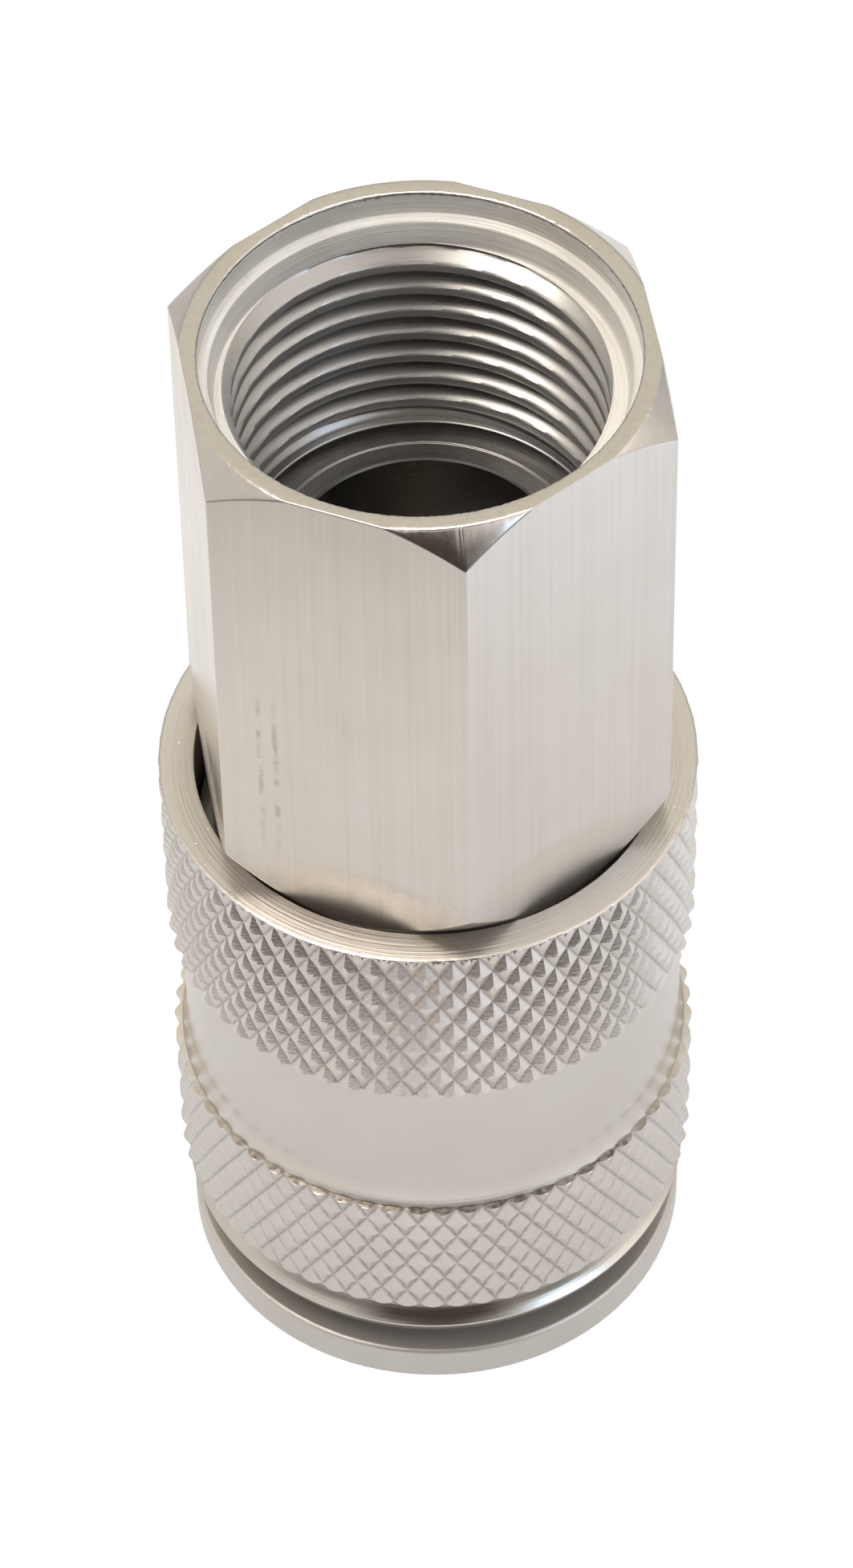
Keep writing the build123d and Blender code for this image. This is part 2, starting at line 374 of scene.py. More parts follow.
# How finely marks repeat: in radius, z and angle if turned, otherwise in x, y and z.
TURNED_SCALES = (9.0, 9.0, 0.9)
DRAWN_SCALES = (3.2, 3.2, 0.05)
DIE_STREAK_SCALES = (2.6, 2.6, 0.02)
LINE_GAP_SCALES = (1.0, 1.0, 0.9)
FOOT_ROUGHNESS = 0.36

# Where each mark on the plating, and the painted shade in the knurl's grooves and at the waist's foot,
# begins and ends, in millimetres (angles in radians).
LINE_PLACES = (-7.95, -7.35)
LINE_FADE = (0.02, 0.16)
LINES_START = (33.0, 35.5)
LINES_END = (40.0, 44.5)
ROUGH_FOOT = (30.8, 33.4)
GROOVE_SHADE_DEPTH = (11.335, 11.41)
WAIST_CLEAR = (11.27, 11.31)
CORNER_SHADE_MIDDLE = math.radians(-98.5)
CORNER_SHADE_FADE = (0.75, 1.3)

NICKEL = (0.665, 0.634, 0.6)
NICKEL_WARM = (0.64, 0.6, 0.555)
BORE_SHEEN = (0.94, 0.92, 0.89)
NICKEL_PORT_SHADE = (0.44, 0.425, 0.415)
HOLE_SHADE = (0.26, 0.25, 0.245)
GAP_LIGHT_BROWN = (0.50, 0.42, 0.33)
BORE_SHEEN_SATIN = (0.8, 0.77, 0.73)
DRAWN_DARK = (0.42, 0.375, 0.32)
# Dark tone of the painted shade in the knurl's grooves and at the waist's foot.
PAINTED_SHADE = (0.17, 0.145, 0.13)
BRASS = (0.80, 0.58, 0.27)
BRASS_DULL = (0.70, 0.47, 0.20)
RUBBER = ((0.012, 0.012, 0.013, 1), (0.035, 0.034, 0.033, 1))
FIBRE = ((0.20, 0.05, 0.03, 1), (0.33, 0.10, 0.06, 1))


def rubber(name):
    material, nodes = new_material(name)
    vector = axis_coordinates(nodes)[0]
    grain = nodes.noise(vector, 14.0, 3.0, 0.6)
    cloud = nodes.noise(vector, 0.8, 3.0, 0.5)
    bump = nodes.add("ShaderNodeBump", {"Strength": 0.5, "Distance": 0.01 * MM, "Height": grain})
    tint = nodes.mix(nodes.fit(cloud, 0.3, 0.7, 0.0, 1.0), *RUBBER)
    rough = nodes.fit(grain, 0.3, 0.7, 0.42, 0.62)
    shader = nodes.add("ShaderNodeBsdfPrincipled", {
        "Base Color": tint, "Roughness": rough, "Normal": bump.outputs[0],
    })
    nodes.add("ShaderNodeOutputMaterial", {0: shader.outputs[0]})
    return material


def fibre(name):
    material, nodes = new_material(name)
    vector = axis_coordinates(nodes)[0]
    flecks = nodes.noise(vector, 6.0, 4.0, 0.7)
    bump = nodes.add("ShaderNodeBump", {"Strength": 0.6, "Distance": 0.02 * MM, "Height": flecks})
    tint = nodes.mix(nodes.fit(flecks, 0.35, 0.65, 0.0, 1.0), *FIBRE)
    shader = nodes.add("ShaderNodeBsdfPrincipled", {
        "Base Color": tint, "Roughness": 0.8, "Normal": bump.outputs[0],
    })
    nodes.add("ShaderNodeOutputMaterial", {0: shader.outputs[0]})
    return material


hexagon_plate = metal("nickel_drawn", NICKEL, 0.16, "drawn", 0.22, NICKEL_WARM)
# Painted sheen: the counterbore and its ledge are coloured near-white and mostly dull, which makes them
# bright.
bore_plate = metal("nickel_bore", BORE_SHEEN, 0.36, "turned", 1.0, BORE_SHEEN_SATIN,
                   relief_depth=0.045, metallic=0.2, streaks=0.35)
# Painted shade: the port's thread, crests and floor are coloured darker than the outer plating, which
# darkens the grooves.
thread_plate = metal("nickel_thread", NICKEL_PORT_SHADE, 0.28, "turned", 0.8, NICKEL_PORT_SHADE, relief_depth=0.004)
crest_plate = metal("nickel_crest", NICKEL_PORT_SHADE, 0.34, "turned", 0.8, NICKEL_PORT_SHADE, relief_depth=0.006,
                    metallic=0.55)
# Painted shade: the flow hole below the port floor is coloured dark.
hole_shade_plate = metal("nickel_hole_shade", HOLE_SHADE, 0.3, "turned", 0.8, HOLE_SHADE)
# Painted light: the collar under the hexagon and the sleeve's rear bore are coloured brown and half
# dull, which lifts the dark gaps to brown.
collar_plate = metal("nickel_collar", GAP_LIGHT_BROWN, 0.38, "turned", 0.8, GAP_LIGHT_BROWN, metallic=0.5)
turned_plate = metal("nickel_turned", NICKEL, 0.32, "turned", 0.6, NICKEL_WARM, edge=0.16,
                     metallic=0.62)
# Painted shade: a dark line along the front of the waist's foot, standing in for the dark front that it
# reflects, fading out towards the sides.
corner_painted_shade = metal("corner_painted_shade", NICKEL_WARM, 0.4, "turned", 0.8, NICKEL_WARM, metallic=0.85,
                    shade_mask=corner_shade_share)
ring_plate = metal("nickel_ring", NICKEL, 0.3, "turned", 1.0, NICKEL_WARM, relief_depth=0.022)
# The knurled bands get painted shade in their grooves.
knurl_plate = metal("nickel_knurl", NICKEL, 0.17, "turned", 0.8, NICKEL_WARM, relief_depth=0.012,
                    shade_mask=knurl_groove_shade)
brass = metal("bare_brass", BRASS, 0.16, "turned", 0.4, BRASS_DULL)
ball_steel = metal("ball_steel", (0.60, 0.60, 0.61), 0.06, "turned", 0.05, (0.56, 0.56, 0.57))
spring_steel = metal("spring_steel", (0.50, 0.50, 0.51), 0.22, "turned", 0.3, (0.42, 0.41, 0.40))
washer_steel = metal("washer_steel", (0.56, 0.56, 0.57), 0.20, "turned", 0.4, (0.50, 0.49, 0.47))
seal_rubber = rubber("seal_rubber")
gasket_fibre = fibre("gasket_fibre")


def paint(obj, *materials):
    obj.data.materials.clear()
    for material in materials:
        obj.data.materials.append(material)


def paint_regions(obj, regions):
    """Gives faces the material at index where test(radius, height) holds, for (test, index)."""
    count = len(obj.data.polygons)
    centres = np.zeros(count * 3, np.float32)
    obj.data.polygons.foreach_get("center", centres)
    centres = centres.reshape(-1, 3)
    radius = np.hypot(centres[:, 0], centres[:, 1])
    chosen = np.zeros(count, np.int32)
    for test, index in regions:
        chosen[test(radius, centres[:, 2])] = index
    obj.data.polygons.foreach_set("material_index", chosen)


# ---- thread adaptor -------------------------------------------------------------------------
CORNER_ROUNDING = 0.16 * MM
EDGE = 0.055 * MM
BURR = 0.09 * MM
HEX_BOTTOM = TOP - 23.0 * MM
FACE_RADIUS = 9.7 * MM
COLLAR_RADIUS = 9.3 * MM
THREAD_PITCH = 25.4 * MM / 19
THREAD_CREST = 7.65 * MM
THREAD_ROOT = 16.662 * MM / 2
THREAD_TOP = TOP - 2.27 * MM
THREAD_BOTTOM = TOP - 11.8 * MM
PORT_FLOOR = TOP - 12.3 * MM
RELIEF_RADIUS = 8.1 * MM
COUNTERBORE_RADIUS = 8.95 * MM
LEDGE_HIGH = TOP - 1.09 * MM
LEDGE_LOW = TOP - 1.26 * MM
LEDGE_RADIUS = 8.56 * MM
FLOW_RADIUS = 5.65 * MM
FRONT_CONE_SLOPE = 1.55
SPIGOT_BORE = 8.05 * MM
CHAMBER_RADIUS = 7.1 * MM
CHAMBER_REAR = 36.0 * MM
SOCKET_FLOOR = 33.0 * MM
FLANK = math.tan(math.radians(27.5))
FLOOR_CONE_HEIGHT = 0.47 * MM
FLOOR_CONE_WIDTH = 0.36 * MM
FLOOR_STEP_RADIUS = FLOW_RADIUS + 0.95 * MM
FLOOR_STEP_DEPTH = 0.06 * MM
FLOOR_STEP_SLOPE = 0.05 * MM
FLOW_EDGE_BREAK = 0.08 * MM
SEAM = 0.004 * MM

# Columns round the axis, in degrees: an even step, and a finer one over each corner.
COLUMN_STEP = 0.75
CORNER_HALF_SPREAD = 0.6
CORNER_COLUMNS = 9
CORNER_CLEARANCE = 0.7

# Thread: the groove passes the +Y side this far below the top, and fades out at the bottom.
GROOVE_START = 3.65 * MM
ROOT_APEX = THREAD_ROOT + 0.16 * THREAD_PITCH
ROOT_ROUNDING = 0.07 * MM
CREST_ROUNDING = 0.05 * MM
GROOVE_FADE = (THREAD_BOTTOM - 0.1 * MM, THREAD_BOTTOM + 0.7 * MM)
THREAD_ROWS = 175

# The burrs on the inner and outer edge of the top face vary by this much, at different places.
BURR_SPREAD = 0.03 * MM
BURR_SHIFT = 40


def hexagon_angles():
    """Column angles: even all round, and closer together over each rounded corner."""
    even = np.arange(0, 360, COLUMN_STEP)
    corners = np.arange(30, 390, 60)
    offsets = np.linspace(-CORNER_HALF_SPREAD, CORNER_HALF_SPREAD, CORNER_COLUMNS)
    near = np.concatenate([corners + offset for offset in offsets])
    from_corner = np.abs((even[:, None] - corners[None, :] + 180) % 360 - 180)
    clear = np.min(from_corner, axis=1) > CORNER_CLEARANCE
    return np.radians(np.sort(np.concatenate([even[clear], near % 360])))


def hexagon_radius(angles):
    """Distance from the axis to a hexagon with flats on +-X and slightly rounded corners."""
    from_corner = (np.degrees(angles) % 60) - 30
    from_corner = np.radians(np.abs(from_corner))
    flat = FLAT_RADIUS / np.cos(math.radians(30) - from_corner)
    centre = CORNER_RADIUS - CORNER_ROUNDING / math.cos(math.radians(30))
    reach = centre * np.cos(from_corner)
    reach = reach + np.sqrt(np.maximum(CORNER_ROUNDING ** 2 - (centre * np.sin(from_corner)) ** 2, 0))
    tangent = math.atan2(CORNER_ROUNDING / 2, centre + CORNER_ROUNDING * math.cos(math.radians(30)))
    return np.where(from_corner < tangent, reach, flat)


def smooth_step(value, low, high):
    t = np.clip((value - low) / (high - low), 0, 1)
    return t * t * (3 - 2 * t)


def thread_radius(angles, height):
    """Wall radius of the right-hand pipe thread: flat crests, rounded roots and 55 degree flanks."""
    groove_height = TOP - GROOVE_START + THREAD_PITCH * (angles - math.pi / 2) / (2 * math.pi)
    offset = (height - groove_height + THREAD_PITCH / 2) % THREAD_PITCH - THREAD_PITCH / 2
    depth = (ROOT_APEX - np.sqrt(offset ** 2 + ROOT_ROUNDING ** 2) / FLANK) - THREAD_CREST
    depth = 0.5 * (depth + np.sqrt(depth ** 2 + CREST_ROUNDING ** 2))
    depth = np.minimum(depth, THREAD_ROOT - THREAD_CREST)
    return THREAD_CREST + depth * smooth_step(height, *GROOVE_FADE)


def make_thread_adaptor():
    outline = Outline(hexagon_angles())
    hexagon = hexagon_radius(outline.angles)
    wobble = random_source.normal(0, BURR_SPREAD, outline.angles.shape)
    top_radius = np.minimum(hexagon - 0.02 * MM, FACE_RADIUS)
    chamfer_height = TOP - np.maximum(hexagon - FACE_RADIUS, 0.03 * MM)
    bevel_height = HEX_BOTTOM - FRONT_CONE_SLOPE * (CORNER_RADIUS - hexagon)
    collar_height = HEX_BOTTOM - FRONT_CONE_SLOPE * (CORNER_RADIUS - COLLAR_RADIUS)
    collar_front = adaptor_low.z
    outline.point(SPIGOT_BORE, collar_front, EDGE)
    outline.point(COLLAR_RADIUS, collar_front, EDGE)
    outline.point(COLLAR_RADIUS, collar_height, EDGE)
    outline.point(hexagon, bevel_height, EDGE * 1.6)
    outline.point(hexagon, chamfer_height, EDGE * 1.2)
    outline.point(top_radius, TOP, BURR + np.abs(wobble))
    outline.point(COUNTERBORE_RADIUS, TOP, BURR + np.abs(np.roll(wobble, BURR_SHIFT)))
    outline.point(COUNTERBORE_RADIUS, LEDGE_HIGH, EDGE * 0.6)
    outline.point(LEDGE_RADIUS, LEDGE_LOW, EDGE * 0.7)
    outline.point(THREAD_ROOT + SEAM, THREAD_TOP + 0.05 * MM)
    outline.point(THREAD_ROOT + SEAM, THREAD_TOP + SEAM)
    for height in np.linspace(THREAD_TOP, THREAD_BOTTOM, THREAD_ROWS):
        outline.point(thread_radius(outline.angles, height), height)
    outline.point(RELIEF_RADIUS, THREAD_BOTTOM - 0.01 * MM)
    step_floor = PORT_FLOOR - FLOOR_STEP_DEPTH
    outline.point(RELIEF_RADIUS, PORT_FLOOR + FLOOR_CONE_HEIGHT, EDGE)
    outline.point(RELIEF_RADIUS - FLOOR_CONE_WIDTH, PORT_FLOOR, EDGE * 1.5)
    outline.point(FLOOR_STEP_RADIUS, PORT_FLOOR, EDGE * 0.4)
    outline.point(FLOOR_STEP_RADIUS - FLOOR_STEP_SLOPE, step_floor, EDGE * 0.4)
    outline.point(FLOW_RADIUS + FLOW_EDGE_BREAK, step_floor)
    outline.point(FLOW_RADIUS, step_floor - FLOW_EDGE_BREAK)
    outline.point(FLOW_RADIUS, CHAMBER_REAR, EDGE)
    outline.point(CHAMBER_RADIUS, CHAMBER_REAR, EDGE)
    outline.point(CHAMBER_RADIUS, SOCKET_FLOOR, EDGE)
    outline.point(SPIGOT_BORE, SOCKET_FLOOR, EDGE)
    piece = outline.build("hexagon_adaptor")
    paint(piece, hexagon_plate, bore_plate, thread_plate, collar_plate, hole_shade_plate, crest_plate)
    port_limit = RELIEF_RADIUS * 1.04
    crest_limit = THREAD_CREST + 0.05 * MM
    flow_limit = FLOW_RADIUS * 1.01

    def is_crest(radius, height):
        threaded = (height > THREAD_BOTTOM) & (height < THREAD_TOP)
        return threaded & (radius > flow_limit) & (radius < crest_limit)

    paint_regions(piece, [
        (lambda radius, height: (radius < COUNTERBORE_RADIUS) & (height > THREAD_TOP), 1),
        (lambda radius, height: (radius < port_limit) & (height <= THREAD_TOP), 2),
        (is_crest, 5),
        (lambda radius, height: (radius < flow_limit) & (height < PORT_FLOOR), 4),
        (lambda radius, height: (radius < CORNER_RADIUS) & (height < bevel_height.min()), 3),
    ])
    weight_normals(piece)
    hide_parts("thread_adaptor")
    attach(piece, "coupler_body")


# ---- release sleeve -------------------------------------------------------------------------
def knurl_radius(column, level, trim):
    """Radius of the diamond knurl at grid places (column, level); trim lowers each diamond."""
    span = 2 * KNURL_STEPS
    first = (column + level) % span
    second = (column - level) % span
    rise = np.minimum(np.minimum(first, span - first), np.minimum(second, span - second)) / KNURL_STEPS
    # Two odd factors spread neighbouring diamonds over the list of trims.
    diamond = (column + level) // span * 131 + (column - level) // span * 57
    diamond = diamond.astype(int) % len(trim)
    top = KNURL_TOP_LEVEL - trim[diamond]
    return KNURL_RADIUS - KNURL_RISE * (KNURL_TOP_LEVEL - np.minimum(rise, top))


def rounded_end(distance, size):
    """How far below full radius a rounded end lies at a distance from the end of its band."""
    inside = np.clip(size - distance, 0, size)
    return size - np.sqrt(np.maximum(size ** 2 - inside ** 2, 0))


def knurl_band(outline, columns, low, high, trim, low_round, high_round, rim=0.0):
    """Rows of a knurled band whose two ends are rounded off over low_round and high_round.

    rim is the least radius at the high end, where the grooves are smeared shut over RIM_HEIGHT.
    """
    step = KNURL_PERIOD / (2 * KNURL_STEPS)
    count = round((high - low) / step)
    bends = 1 - np.sin(np.radians(END_ROW_ANGLES))
    heights = np.concatenate([
        np.linspace(low, high, count + 1),
        low + bends * np.mean(low_round), high - bends * np.mean(high_round),
    ])
    for height in np.sort(heights):
        radius = knurl_radius(columns, (height - low) / (high - low) * count, trim)
        if rim:
            closing = np.clip(1 - (high - height) / RIM_HEIGHT, 0, 1)
            radius = np.maximum(radius, rim - KNURL_RISE * (1 - closing) ** 2)
        drop = np.maximum(rounded_end(height - low, low_round), rounded_end(high - height, high_round))
        outline.point(np.minimum(radius, KNURL_RADIUS - drop), height)


def hollow_curve(outline, curve_radius, lean, low_radius, low_height, steps=9):
    """Rows of an arc that faces outwards, leaning up by lean degrees, from its low end upwards."""
    centre_radius = low_radius + curve_radius * math.cos(math.radians(lean[1]))
    centre_height = low_height + curve_radius * math.sin(math.radians(lean[1]))
    for angle in np.radians(np.linspace(lean[1], lean[0], steps)):
        outline.point(centre_radius - curve_radius * math.cos(angle),
                      centre_height - curve_radius * math.sin(angle))
    return centre_radius - curve_radius * math.cos(math.radians(lean[0]))


def make_release_sleeve():
    columns = np.arange(KNURL_STARTS * 2 * KNURL_STEPS)
    outline = Outline(columns / len(columns) * 2 * math.pi)
    trim = np.abs(random_source.normal(0, TRIM_SPREAD, TRIM_COUNT))
    ragged = np.abs(random_source.normal(0, RAGGED_SPREAD, len(columns)))
    ragged = (ragged + np.roll(ragged, 1) + np.roll(ragged, 2)) / 3
    outline.point(RELEASE_GROOVE, SLEEVE_FRONT, EDGE)
    outline.point(NOSE_RADIUS, SLEEVE_FRONT, EDGE)
    outline.point(LIP_RADIUS - 0.01 * MM, LIP_HEIGHT - 0.05 * MM, 0.03 * MM)
    neck_radius = hollow_curve(outline, FLARE_CURVE, FLARE_LEAN, LIP_RADIUS - 0.03 * MM, LIP_HEIGHT)
    outline.point(neck_radius, LOWER_KNURL_LOW - SHOULDER)
    knurl_band(outline, columns, LOWER_KNURL_LOW, LOWER_KNURL_HIGH, trim, 0.1 * MM, 0.03 * MM + ragged)
    waist_reach = WAIST_RADIUS + WAIST_CURVE * (1 - math.cos(math.radians(WAIST_LEAN[1])))
    hollow_curve(outline, WAIST_CURVE, WAIST_LEAN, waist_reach, LOWER_KNURL_HIGH + 0.02 * MM)
    outline.point(WAIST_RADIUS, UPPER_KNURL_LOW - SHOULDER)
    knurl_band(outline, columns, UPPER_KNURL_LOW, SLEEVE_REAR, trim, 0.08 * MM, 0.14 * MM + 2 * ragged,
               RIM_RADIUS)
    outline.point(REAR_BORE, SLEEVE_REAR, EDGE + np.roll(ragged, RAGGED_SHIFT))
    outline.point(REAR_BORE, SPRING_SHOULDER, EDGE)
    outline.point(LAND_RADIUS, SPRING_SHOULDER, EDGE)
    outline.point(LAND_RADIUS, CONE_ENDS[0], EDGE)
    outline.point(RELEASE_GROOVE, CONE_ENDS[1], EDGE)

    def split(radius, height):
        """Cuts each knurled quad along its groove, or along its ridge where it has none."""
        choice = np.zeros(radius.shape, int)
        next_row = np.roll(radius, -1, 0)
        a, b = radius, np.roll(radius, -1, 1)
        c, d = np.roll(next_row, -1, 1), next_row
        bent = np.abs(a + c - b - d) > BEND_LIMIT
        lowest_ac = np.maximum(a, c) < np.minimum(b, d)
        lowest_bd = np.maximum(b, d) < np.minimum(a, c)
        choice[bent] = np.where(a + c > b + d, 1, 2)[bent]
        choice[bent & lowest_ac] = 1
        choice[bent & lowest_bd] = 2
        return choice

    piece = outline.build("knurled_sleeve", split, KNURL_SHARP_ANGLE)
    paint(piece, knurl_plate, ring_plate, collar_plate, corner_painted_shade)
    corner_low = LOWER_KNURL_HIGH - 0.006 * MM
    corner_high = LOWER_KNURL_HIGH + 0.06 * MM
    ring_low = SLEEVE_REAR - 0.03 * MM
    bore_high = SLEEVE_REAR - 0.1 * MM
    bore_limit = REAR_BORE * 1.001

    # Faces round the waist's foot get the material with the painted shade.
    def is_corner(radius, height):
        return (radius < CORNER_LEDGE_RADIUS) & (height > corner_low) & (height < corner_high)

    paint_regions(piece, [
        (is_corner, 3),
        (lambda radius, height: (radius < RIM_RADIUS) & (height > ring_low), 1),
        (lambda radius, height: (radius < bore_limit) & (height < bore_high), 2),
    ])
    weight_normals(piece)
    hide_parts("release_sleeve")
    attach(piece, "sleeve")


# ---- springs --------------------------------------------------------------------------------
def make_spring(name, node, wire, turns):
    """A coil spring with closed, ground ends."""
    low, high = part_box(node)
    mean = high.x - wire / 2
    closed = 0.75
    closed_pitch = 0.9 * wire
    low_z = low.z + wire / 2
    high_z = high.z - wire / 2
    open_pitch = (high_z - low_z - 2 * closed * closed_pitch) / (turns - 2 * closed)
    steps_per_turn = 48
    ring_points = 14
    turn = np.linspace(0, turns, int(turns * steps_per_turn) + 1)
    height = low_z + np.minimum(turn, closed) * closed_pitch
    height = height + np.clip(turn - closed, 0, turns - 2 * closed) * open_pitch
    height = height + np.clip(turn - (turns - closed), 0, closed) * closed_pitch
    angle = (turn * 2 * math.pi)[:, None]
    around = np.linspace(0, 2 * math.pi, ring_points, endpoint=False)[None, :]
    radius = mean + wire / 2 * np.cos(around)
    z = np.clip(height[:, None] + wire / 2 * np.sin(around), low.z, high.z)
    points = np.stack([radius * np.cos(angle), radius * np.sin(angle), z], -1)
    index = np.arange(len(turn) * ring_points).reshape(len(turn), ring_points)
    quads = np.stack([
        index[:-1], np.roll(index[:-1], -1, 1), np.roll(index[1:], -1, 1), index[1:],
    ], -1).reshape(-1, 4)
    caps = [index[0][::-1][None, :], index[-1][None, :]]
    piece = new_object(name, points.reshape(-1, 3), [quads] + caps)
    paint(piece, spring_steel)
    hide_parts(node)
    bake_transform(piece)


make_thread_adaptor()
make_release_sleeve()
make_spring("sleeve_coil", "sleeve_spring", 1.1 * MM, 5.5)
make_spring("valve_coil", "valve_spring", 0.9 * MM, 7.5)

# ---- pieces carried over from the frame -----------------------------------------------------
for node, material in {
    "socket_body": turned_plate,
    "body_gasket": gasket_fibre,
    "plug_seal": seal_rubber,
    "valve_seal": seal_rubber,
    "slider_o_ring": seal_rubber,
    "valve_slider": brass,
    "plug_seal_retainer": brass,
    "sleeve_spring_washer": washer_steel,
    "sleeve_spring_seat": washer_steel,
    "valve_spring_seat": washer_steel,
}.items():
    paint(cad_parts[node], material)
for name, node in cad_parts.items():
    if name.startswith("locking_ball"):
        paint(node, ball_steel)

# ---- stage, light and camera ----------------------------------------------------------------
VIEW_AZIMUTH = math.radians(-8.5)
VIEW_ELEVATION = math.radians(49.1)
VIEW_ROLL = math.radians(-1.161)
VIEW_DISTANCE = 277.3 * MM
AIM_HEIGHT = TOP - 22.17 * MM
LENS = 149.7
SENSOR_WIDTH = 36.0
SHIFT = (-0.0005, -0.0448)

# Painted light: colours that the floor paper glows with as the metal sees it, and the plain backdrop
# that the camera sees.
BACKDROP = (0.97, 0.97, 0.97, 1)
PAPER_LEFT = (0.91, 0.87, 0.83, 1)
PAPER_RIGHT = (0.90, 0.88, 0.875, 1)
# A painted shadow round the coupler, painted shade far to the left and on the camera's side, and
# painted window light far to the right:
PAPER_SHADED = (0.73, 0.715, 0.71, 1)
PAPER_FAR_LEFT = (0.62, 0.59, 0.57, 1)
PAPER_FAR_RIGHT = (1.1, 1.15, 1.24, 1)
PAPER_FRONT = (0.07, 0.055, 0.05, 1)
PAPER_BOUNCE = (0.06, 0.06, 0.06, 1)
FLOOR_SIZE = 3.0

# Distances, in metres, over which the paper changes from one tone to the next: out from the
# axis first, then to the right of it and away from the camera.
SHADED_REACH = (0.012, 0.045)
FAR_REACH = (0.045, 0.075)
FRONT_REACH = (0.052, 0.09)
WIDE_FRONT_REACH = (0.075, 0.12)
LEFT_TO_RIGHT = (-0.04, 0.04)
FAR_RIGHT_SIDE = (0.01, 0.05)
FAR_RIGHT_DEPTH = (0.0, 0.03)
FAR_LEFT_SIDE = (-0.05, -0.01)

# Colours of the room round the coupler, in the camera's frame: +X right, +Y away, +Z up.
ROOM = (0.82, 0.79, 0.74, 1)
ROOM_BACK = (0.83, 0.785, 0.665, 1)
ROOM_BACK_LOW = (0.56, 0.57, 0.59, 1)
ROOM_RIGHT = (1.35, 1.28, 1.2, 1)
ROOM_FRONT = (0.075, 0.058, 0.05, 1)

# Angles from the camera's side, in degrees, over which the dark paper and dark room end.
PAPER_SPREAD = (28, 52)
PAPER_WIDE_SPREAD = (45, 80)
FRONT_SPREAD = (20, 42)
FRONT_MIDDLE_SPREAD = (8, 24)
FRONT_SIDES_SPREAD = (48, 80)

# Heights of a direction, 1 being straight up, over which the dark front and low back end.
BACK_LOW_END = (0.4, 0.62)
FRONT_END = (0.65, 0.74)
FRONT_MIDDLE_END = (0.77, 0.82)
FRONT_SIDES_END = (0.28, 0.5)

# Back wall, its lower part and the right side: direction, full and zero angle.
BACK_PATCH = ((0, 1, 0.9), 20, 80)
BACK_LOW_PATCH = ((0, 1, 0.1), 45, 75)
RIGHT_PATCH = ((0.75, -0.15, 0.75), 10, 40)

# Window, shade above the camera and two lamps: direction, full and zero angle, brightness.
LIGHTS = (
    ((0.66, -0.48, 0.57), 7, 15, (1.9, 2.5, 3.1, 1)),
    ((0.1, -0.26, 0.96), 6, 16, (0.3, 0.27, 0.25, 1)),
    ((0, 0.2, 0.98), 6, 17, (5.0, 4.7, 4.3, 1)),
    ((-0.38, -0.1, 0.92), 8, 17, (6.4, 6.0, 5.4, 1)),
)


def front_share(nodes, vector, narrow, wide):
    """1 for directions or places within narrow degrees of the camera's side, 0 beyond wide."""
    turned = nodes.add("ShaderNodeVectorRotate", {"Vector": vector, "Angle": -VIEW_AZIMUTH},
                       rotation_type="Z_AXIS").outputs[0]
    x, y, z = nodes.add("ShaderNodeSeparateXYZ", {0: turned}).outputs
    level = level_length(nodes, x, y)
    facing = nodes.math("DIVIDE", nodes.math("MULTIPLY", y, -1.0), nodes.math("MAXIMUM", level, 1e-6))
    share = nodes.fit(facing, math.cos(math.radians(wide)), math.cos(math.radians(narrow)), 0.0, 1.0)
    return share, turned, level, z


def make_floor():
    corners = FLOOR_SIZE * np.array([(-1, -1, 0), (1, -1, 0), (1, 1, 0), (-1, 1, 0)], float)
    floor = new_object("floor", corners, [np.array([[0, 1, 2, 3]])], smooth=False)
    material, nodes = new_material("floor_paper")
    position = nodes.add("ShaderNodeTexCoord").outputs["Object"]
    share, turned, distance, _ = front_share(nodes, position, *PAPER_SPREAD)
    side, depth, _ = nodes.add("ShaderNodeSeparateXYZ", {0: turned}).outputs
    paper = nodes.mix(nodes.fit(side, *LEFT_TO_RIGHT, 0.0, 1.0), PAPER_LEFT, PAPER_RIGHT)
    # Painted shadow round the coupler, then painted light and shade farther out.
    paper = nodes.mix(nodes.fit(distance, *SHADED_REACH, 0.0, 1.0), PAPER_SHADED, paper)
    far = nodes.fit(distance, *FAR_REACH, 0.0, 1.0)
    right = nodes.math("MULTIPLY", far, nodes.fit(side, *FAR_RIGHT_SIDE, 0.0, 1.0))
    right = nodes.math("MULTIPLY", right, nodes.fit(depth, *FAR_RIGHT_DEPTH, 1.0, 0.0))
    left = nodes.math("MULTIPLY", far, nodes.fit(side, *FAR_LEFT_SIDE, 1.0, 0.0))
    paper = nodes.mix(right, paper, PAPER_FAR_RIGHT)
    paper = nodes.mix(left, paper, PAPER_FAR_LEFT)
    dark = nodes.math("MULTIPLY", share, nodes.fit(distance, *FRONT_REACH, 0.0, 1.0))
    wide = nodes.math("MULTIPLY", front_share(nodes, position, *PAPER_WIDE_SPREAD)[0],
                      nodes.fit(distance, *WIDE_FRONT_REACH, 0.0, 0.7))
    dark = nodes.math("MAXIMUM", dark, wide)
    paper = nodes.mix(dark, paper, PAPER_FRONT)
    camera_ray = nodes.add("ShaderNodeLightPath").outputs["Is Camera Ray"]
    glow = nodes.mix(camera_ray, paper, BACKDROP)
    emission = nodes.add("ShaderNodeEmission", {"Color": glow, "Strength": 1.0})
    diffuse = nodes.add("ShaderNodeBsdfDiffuse", {"Color": PAPER_BOUNCE})
    shader = nodes.add("ShaderNodeAddShader", {0: emission.outputs[0], 1: diffuse.outputs[0]})
    nodes.add("ShaderNodeOutputMaterial", {0: shader.outputs[0]})
    paint(floor, material)


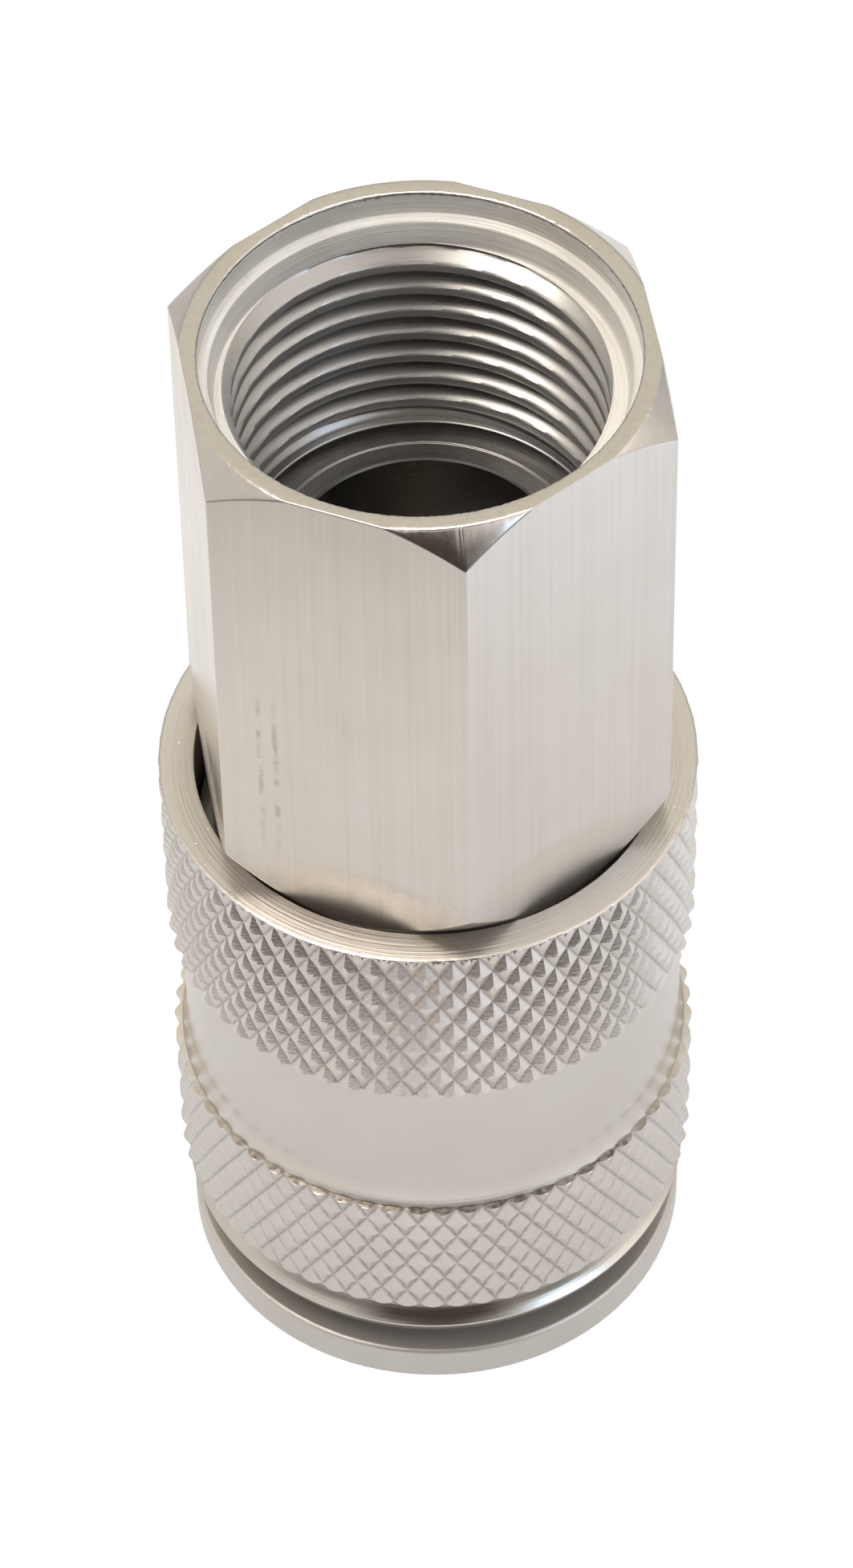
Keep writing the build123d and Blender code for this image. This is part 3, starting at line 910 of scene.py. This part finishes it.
def make_world():
    world = bpy.data.worlds.new("studio")
    bpy.context.scene.world = world
    world.use_nodes = True
    nodes = Nodes(world.node_tree)
    direction = nodes.add("ShaderNodeTexCoord").outputs["Generated"]
    share, turned, _, height = front_share(nodes, direction, *FRONT_SPREAD)
    narrow_share = front_share(nodes, direction, *FRONT_MIDDLE_SPREAD)[0]

    def patch(toward, inner, outer):
        """1 within inner degrees of the direction toward, falling to 0 at outer degrees."""
        aim = Vector(toward).normalized()
        along = nodes.add("ShaderNodeVectorMath", {0: turned, 1: tuple(aim)},
                          operation="DOT_PRODUCT")
        ramp = nodes.add("ShaderNodeMapRange", {
            "Value": along.outputs["Value"],
            "From Min": math.cos(math.radians(outer)), "From Max": math.cos(math.radians(inner)),
        }, interpolation_type="SMOOTHSTEP")
        return ramp.outputs[0]

    colour = nodes.mix(patch(*BACK_PATCH), ROOM, ROOM_BACK)
    low = nodes.fit(height, *BACK_LOW_END, 1.0, 0.0)
    back_low = nodes.math("MULTIPLY", patch(*BACK_LOW_PATCH), low)
    colour = nodes.mix(back_low, colour, ROOM_BACK_LOW)
    colour = nodes.mix(patch(*RIGHT_PATCH), colour, ROOM_RIGHT)
    low_front = nodes.math("MULTIPLY", share, nodes.fit(height, *FRONT_END, 1.0, 0.0))
    high_front = nodes.math("MULTIPLY", narrow_share, nodes.fit(height, *FRONT_MIDDLE_END, 1.0, 0.0))
    wide_share = front_share(nodes, direction, *FRONT_SIDES_SPREAD)[0]
    level_front = nodes.math("MULTIPLY", wide_share, nodes.fit(height, *FRONT_SIDES_END, 0.75, 0.0))
    front = nodes.math("MAXIMUM", nodes.math("MAXIMUM", low_front, high_front), level_front)
    colour = nodes.mix(front, colour, ROOM_FRONT)
    for toward, inner, outer, brightness in LIGHTS:
        colour = nodes.mix(patch(toward, inner, outer), colour, brightness)
    camera_ray = nodes.add("ShaderNodeLightPath").outputs["Is Camera Ray"]
    colour = nodes.mix(camera_ray, colour, BACKDROP)
    background = nodes.add("ShaderNodeBackground", {"Color": colour, "Strength": 1.0})
    nodes.add("ShaderNodeOutputWorld", {0: background.outputs[0]})


def make_camera():
    back = Vector((
        math.sin(VIEW_AZIMUTH) * math.cos(VIEW_ELEVATION),
        -math.cos(VIEW_AZIMUTH) * math.cos(VIEW_ELEVATION),
        math.sin(VIEW_ELEVATION),
    ))
    right = Vector((math.cos(VIEW_AZIMUTH), math.sin(VIEW_AZIMUTH), 0))
    up = back.cross(right)
    rolled_right = math.cos(VIEW_ROLL) * right + math.sin(VIEW_ROLL) * up
    rolled_up = math.cos(VIEW_ROLL) * up - math.sin(VIEW_ROLL) * right
    data = bpy.data.cameras.new("camera")
    data.lens = LENS
    data.sensor_width = SENSOR_WIDTH
    data.shift_x, data.shift_y = SHIFT
    data.clip_start = 0.01
    camera = bpy.data.objects.new("camera", data)
    bpy.context.collection.objects.link(camera)
    place = Matrix.Translation(Vector((0, 0, AIM_HEIGHT)) + back * VIEW_DISTANCE)
    camera.matrix_world = place @ Matrix((rolled_right, rolled_up, back)).transposed().to_4x4()
    bpy.context.scene.camera = camera


make_floor()
make_world()
make_camera()
bpy.context.scene.view_settings.view_transform = "Standard"
